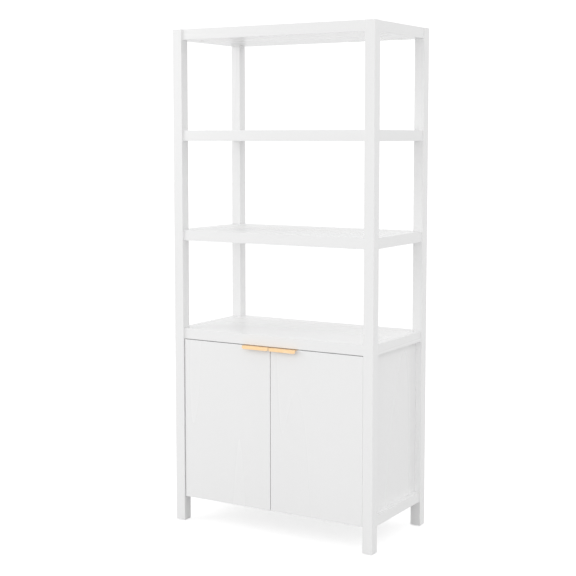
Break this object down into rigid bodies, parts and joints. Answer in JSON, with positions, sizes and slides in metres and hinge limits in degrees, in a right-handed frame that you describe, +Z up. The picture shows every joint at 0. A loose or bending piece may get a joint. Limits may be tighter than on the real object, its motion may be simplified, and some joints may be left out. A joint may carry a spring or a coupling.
{
  "type": "bookcase with cabinet doors",
  "caption": "Tall white bookcase with open shelves between square posts, over a cabinet with hinged doors and brass edge pulls.",
  "frame": {"origin": "on the floor, under the middle of the bookcase's four posts", "axes": "+X to the right across the front, +Y from the front to the back, +Z up"},
  "size_m": [0.815, 0.43, 1.8],
  "materials": {
    "white_frame": "semi-gloss white lacquer on wood posts and rails",
    "white_slabs": "semi-gloss white lacquer on fibreboard slabs",
    "white_boards": "semi-gloss white lacquer on fibreboard panels",
    "white_doors": "semi-gloss white lacquer on fibreboard doors",
    "white_back": "white foil on hardboard",
    "brass_pulls": "brushed champagne brass",
    "brass_screws": "brass-plated steel",
    "hinge_steel": "nickel-plated pressed steel",
    "bright_steel": "zinc-plated steel",
    "cast_zinc": "die-cast zinc",
    "beech_dowels": "fluted beech",
    "dark_plastic": "moulded polyethylene",
    "clear_bumpers": "translucent polyurethane"
  },
  "bodies": {
    "root": {"front_left_post": "white_frame", "front_right_post": "white_frame", "rear_left_post": "white_frame", "rear_right_post": "white_frame", "top_slab": "white_slabs", "upper_shelf": "white_slabs", "middle_shelf": "white_slabs", "deck_slab": "white_slabs", "bottom_slab": "white_slabs", "left_top_rail": "white_frame", "left_upper_rail": "white_frame", "left_middle_rail": "white_frame", "left_deck_rail": "white_frame", "left_bottom_rail": "white_frame", "right_top_rail": "white_frame", "right_upper_rail": "white_frame", "right_middle_rail": "white_frame", "right_deck_rail": "white_frame", "right_bottom_rail": "white_frame", "left_side_panel": "white_boards", "right_side_panel": "white_boards", "inner_shelf": "white_boards", "back_panel": "white_back", "left_hinge_arms": "hinge_steel", "left_hinge_plates": "hinge_steel", "left_arm_screws": "bright_steel", "left_plate_screws": "bright_steel", "right_hinge_arms": "hinge_steel", "right_hinge_plates": "hinge_steel", "right_arm_screws": "bright_steel", "right_plate_screws": "bright_steel", "shelf_pins": "bright_steel", "cam_locks": "cast_zinc", "connecting_bolts": "bright_steel", "slab_dowels": "beech_dowels", "glides": "dark_plastic", "door_bumpers": "clear_bumpers"},
    "left_door": {"left_door": "white_doors", "left_pull": "brass_pulls", "left_pull_screws": "brass_screws", "left_hinge_cups": "hinge_steel", "left_cup_pins": "bright_steel", "left_cup_screws": "bright_steel"},
    "right_door": {"right_door": "white_doors", "right_pull": "brass_pulls", "right_pull_screws": "brass_screws", "right_hinge_cups": "hinge_steel", "right_cup_pins": "bright_steel", "right_cup_screws": "bright_steel"}
  },
  "joints": [
    {"name": "left_door_hinge", "type": "hinge", "parent": "root", "child": "left_door", "pos_m": [-0.3504, -0.1963, 0.386], "axis": [0, 0, -1], "range_deg": [0, 95]},
    {"name": "right_door_hinge", "type": "hinge", "parent": "root", "child": "right_door", "pos_m": [0.3504, -0.1963, 0.386], "axis": [0, 0, 1], "range_deg": [0, 95]}
  ]
}
